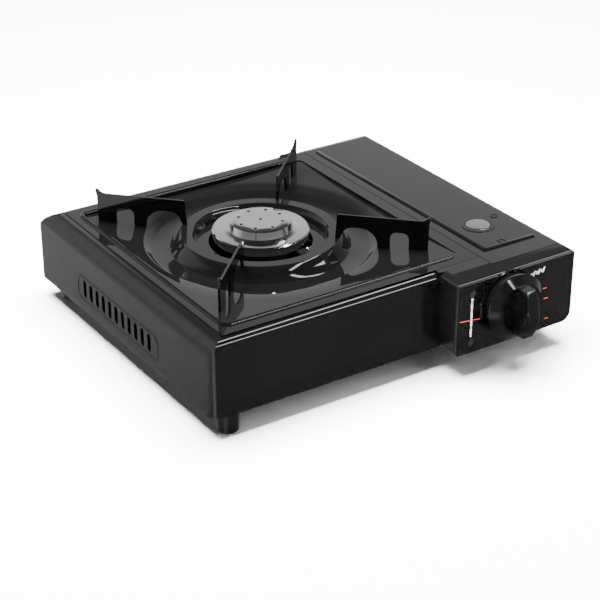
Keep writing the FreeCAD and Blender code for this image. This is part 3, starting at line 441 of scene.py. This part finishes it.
def details() -> list[Detail]:
    """List the stove's printed marks and pressed lines."""
    face = (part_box("control_panel")[0][1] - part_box("body_shell")[0][1]) / MM - 0.02
    column = [Bar((233.0, face, 18.0 + 2.6 * i), (2.0 if i % 3 else 1.2, 0.12, 1.7)) for i in range(14)]
    badge = [Bar((295.5 + 2.6 * i, face, 57.5 + 0.3 * i), (1.0, 0.12, 5.0 if i % 2 else 2.8), 18.0) for i in range(6)]
    red = [Bar((231.5, face, 32.8), (21.0, 0.12, 0.7), 6.5), Bar((243.0, face, 45.0), (2.6, 0.12, 1.0)),
           Bar((311.0, face, 40.6), (4.0, 0.12, 0.6)), Bar((313.0, face, 30.5), (4.0, 0.12, 0.6)),
           Bar((315.0, face, 10.8), (4.0, 0.12, 0.5))]
    ridge = [Bar((275.7, 140.0, 70.0), (4.2, 256.0, 3.0)), Bar((301.0, 13.0, 70.0), (54.0, 4.2, 3.0))]
    icons = [Ring((325.0, 62.7, 70.0), 7.0, 7.0, 1.0, 0.5, 3.3, (0.0, 0.0, 0.0)),
             Ring((299.0, 19.5, 70.0), 6.5, 6.5, 1.0, 0.5, 1.0, (0.0, 0.0, 0.0))]
    vent = [Ring((0.0, 158.7, 22.5), 143.0, 24.0, 1.8, 0.5, 8.0, (90.0, 0.0, 90.0))]
    return [
        Detail("panel_print_white", "base", "ceramic", "print_white", column + badge),
        Detail("panel_print_red", "base", "lead_sleeve", "print_red", red),
        Detail("lid_pressed_ridge", "lid", "enamel_body", "enamel_body", ridge),
        Detail("lid_pressed_icons", "lid", "enamel_body", "enamel_body", icons),
        Detail("vent_pressed_frame", "base", "enamel_body", "enamel_body", vent),
    ]


# ------------------------------------------------------------------ studio
@dataclass
class Studio:
    """Pale floor, soft lights and the camera."""

    lens_mm: float = 106.387
    azimuth: float = -33.22413
    pitch: float = 27.53466
    room_front: float = 0.30
    room_back: float = 0.86
    room_top: float = 0.12

    def camera(self) -> None:
        """Stand the camera at the viewing angle."""
        low, high = cad_box
        shell_low, shell_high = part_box("body_shell")
        data = bpy.data.cameras.new("studio_camera")
        data.lens = self.lens_mm
        data.sensor_width = 36.0
        data.clip_end = 50.0
        camera = bpy.data.objects.new("studio_camera", data)
        corner = Vector((shell_low[0], shell_low[1], shell_low[2]))
        camera.location = corner + Vector((-0.591982, -1.026787, 0.723970))
        camera.rotation_euler = (math.radians(90.0 - self.pitch), 0.0, math.radians(self.azimuth))
        bpy.context.scene.collection.objects.link(camera)
        bpy.context.scene.camera = camera

    def floor(self) -> None:
        """Lay the pale floor."""
        deselect()
        bpy.ops.mesh.primitive_plane_add(size=12.0, location=(0.0, 0.0, 0.0))
        floor = bpy.context.active_object
        floor.name = "studio_floor"
        settle(floor)
        material = bpy.data.materials.new("pale_studio_paper")
        graph = Graph(material)
        graph.shader.inputs["Base Color"].default_value = to_linear("#F6F6F6")
        graph.shader.inputs["Roughness"].default_value = 0.9
        graph.shader.inputs["Specular IOR Level"].default_value = 0.0
        floor.data.materials.append(material)
        floor.visible_glossy = False

    def softbox(self, name: str, place: Sequence[float], aim: Sequence[float], size: Sequence[float],
                power: float, mirrored: bool = True) -> None:
        """Hang one soft light.

        Args:
            name: the light's name.
            place: where it hangs.
            aim: the point it faces.
            size: width and height.
            power: watts.
            mirrored: whether gloss shows it.
        """
        data = bpy.data.lights.new(name, "AREA")
        data.shape = "RECTANGLE"
        data.size, data.size_y = size
        data.energy = power
        light = bpy.data.objects.new(name, data)
        light.location = place
        light.visible_glossy = mirrored
        direction = Vector(aim) - Vector(place)
        light.rotation_euler = direction.to_track_quat("-Z", "Y").to_euler()
        bpy.context.scene.collection.objects.link(light)

    def surround(self) -> None:
        """Fill the room with soft light: brighter towards the back, dark overhead, one low card."""
        world = bpy.data.worlds.new("soft_room")
        bpy.context.scene.world = world
        world.use_nodes = True
        tree = world.node_tree
        tree.nodes.clear()

        def ramp(source: bpy.types.NodeSocket, low: float, high: float, start: float,
                 end: float) -> bpy.types.NodeSocket:
            """Map a value smoothly from low..high to start..end."""
            node = tree.nodes.new("ShaderNodeMapRange")
            node.interpolation_type = "SMOOTHSTEP"
            for name, value in (("From Min", low), ("From Max", high), ("To Min", start), ("To Max", end)):
                node.inputs[name].default_value = value
            tree.links.new(source, node.inputs["Value"])
            return node.outputs["Result"]

        def combine(kind: str, first: bpy.types.NodeSocket,
                    second: bpy.types.NodeSocket) -> bpy.types.NodeSocket:
            """Join two values with one sum."""
            node = tree.nodes.new("ShaderNodeMath")
            node.operation = kind
            tree.links.new(first, node.inputs[0])
            tree.links.new(second, node.inputs[1])
            return node.outputs[0]

        coordinate = tree.nodes.new("ShaderNodeTexCoord").outputs["Generated"]
        split = tree.nodes.new("ShaderNodeSeparateXYZ")
        tree.links.new(coordinate, split.inputs["Vector"])
        depth = tree.nodes.new("ShaderNodeMix")
        for name, source in (("Factor", ramp(split.outputs["Z"], -0.10, 0.10, 0.0, 1.0)),
                             ("A", ramp(split.outputs["Y"], -0.75, 0.75, self.room_front, self.room_back)),
                             ("B", ramp(split.outputs["Y"], 0.0, 0.72, 0.25, self.room_back))):
            tree.links.new(source, depth.inputs[name])
        height = ramp(split.outputs["Z"], 0.40, 0.60, 1.0, self.room_top)
        lower = ramp(split.outputs["Z"], -0.62, -0.38, 0.3, 1.0)
        card = tree.nodes.new("ShaderNodeVectorMath")
        card.operation = "DOT_PRODUCT"
        card.inputs[1].default_value = (-0.75, -0.47, -0.46)
        tree.links.new(coordinate, card.inputs[0])
        glow = ramp(card.outputs["Value"], 0.95, 0.995, 0.0, 1.6)
        background = tree.nodes.new("ShaderNodeBackground")
        output = tree.nodes.new("ShaderNodeOutputWorld")
        sides = combine("MULTIPLY", combine("MULTIPLY", depth.outputs["Result"], height), lower)
        total = combine("ADD", sides, glow)
        tree.links.new(total, background.inputs["Strength"])
        tree.links.new(background.outputs["Background"], output.inputs["Surface"])

    def set_up(self) -> None:
        """Build the whole studio."""
        self.camera()
        self.floor()
        self.surround()
        self.softbox("overhead_softbox", (0.0, 0.2, 1.6), (0.0, 0.0, 0.0), (1.6, 1.0), 520.0, False)
        self.softbox("upper_strip", (0.78, -0.70, 1.36), (0.0, -0.15, 0.08), (1.8, 0.12), 12.0)
        self.softbox("front_strip", (0.78, -1.34, 0.83), (0.0, -0.15, 0.08), (1.8, 0.10), 9.0)


# ------------------------------------------------------------------ the stove
def main() -> None:
    """Build every piece and report it."""
    Studio().set_up()
    finishes = Finishes()
    for node in frame["nodes"]:
        piece = PressedSkin(node, finishes, "lock_steel" if node == "lid_lock_knob" else None).make()
        log.info("%s %d faces", piece.name, len(piece.data.polygons))
    for detail in details():
        piece = detail.make(finishes)
        log.info("%s %d faces", piece.name, len(piece.data.polygons))


if __name__ == "__main__":
    main()
